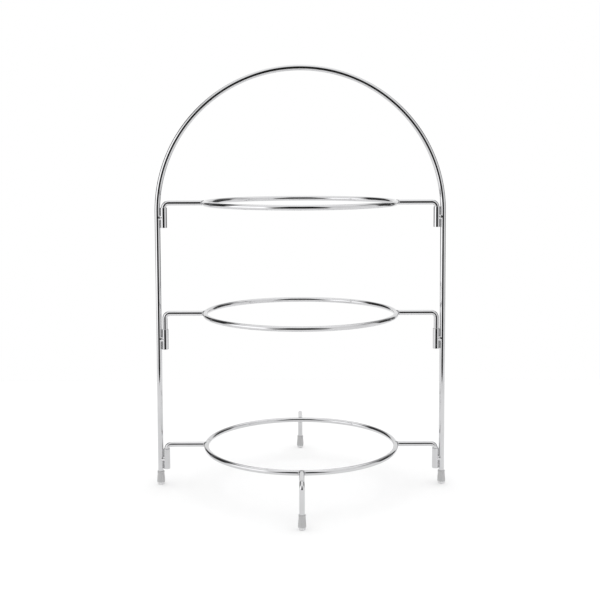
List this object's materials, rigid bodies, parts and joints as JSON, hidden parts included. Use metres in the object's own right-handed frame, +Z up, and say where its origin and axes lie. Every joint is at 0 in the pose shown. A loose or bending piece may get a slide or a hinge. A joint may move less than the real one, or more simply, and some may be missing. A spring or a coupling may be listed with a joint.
{
  "type": "tiered plate stand",
  "caption": "Tall chromed wire plate stand: an arch with tube sockets holds lift-out wire rings that each carry a plate, on soft-capped feet.",
  "frame": {"origin": "on the floor, midway between the four feet", "axes": "+Z up, +X from the left upright to the right one as seen from the front, +Y towards the rear leg"},
  "size_m": [0.293, 0.2676, 0.422],
  "materials": {
    "arch_chrome": "bright chrome plate on steel wire",
    "tier_chrome": "bright chrome plate on steel wire",
    "socket_chrome": "bright chrome plate on thin steel tube",
    "weld_chrome": "chrome plate over small resistance welds",
    "foot_vinyl": "soft translucent grey vinyl, slightly glossy"
  },
  "bodies": {
    "frame": {"arch_frame": "arch_chrome", "top_left_socket": "socket_chrome", "top_right_socket": "socket_chrome", "middle_left_socket": "socket_chrome", "middle_right_socket": "socket_chrome", "base_left_socket": "socket_chrome", "base_right_socket": "socket_chrome", "socket_welds": "weld_chrome", "left_foot": "foot_vinyl", "right_foot": "foot_vinyl"},
    "top_tier": {"top_ring": "tier_chrome", "top_left_arm": "tier_chrome", "top_right_arm": "tier_chrome", "top_left_weld": "weld_chrome", "top_right_weld": "weld_chrome"},
    "middle_tier": {"middle_ring": "tier_chrome", "middle_left_arm": "tier_chrome", "middle_right_arm": "tier_chrome", "middle_left_weld": "weld_chrome", "middle_right_weld": "weld_chrome"},
    "base_tier": {"base_ring": "tier_chrome", "base_left_arm": "tier_chrome", "base_right_arm": "tier_chrome", "base_left_weld": "weld_chrome", "base_right_weld": "weld_chrome", "front_leg": "tier_chrome", "rear_leg": "tier_chrome", "front_leg_weld": "weld_chrome", "rear_leg_weld": "weld_chrome", "front_foot": "foot_vinyl", "rear_foot": "foot_vinyl"}
  },
  "joints": [
    {"name": "top_tier_lift", "type": "slide", "parent": "frame", "child": "top_tier", "axis": [0, 0, 1], "range_m": [0, 0.0085]},
    {"name": "middle_tier_lift", "type": "slide", "parent": "frame", "child": "middle_tier", "axis": [0, 0, 1], "range_m": [-0.0116, 0.009]},
    {"name": "base_tier_lift", "type": "slide", "parent": "frame", "child": "base_tier", "axis": [0, 0, 1], "range_m": [0, 0.0206]}
  ]
}
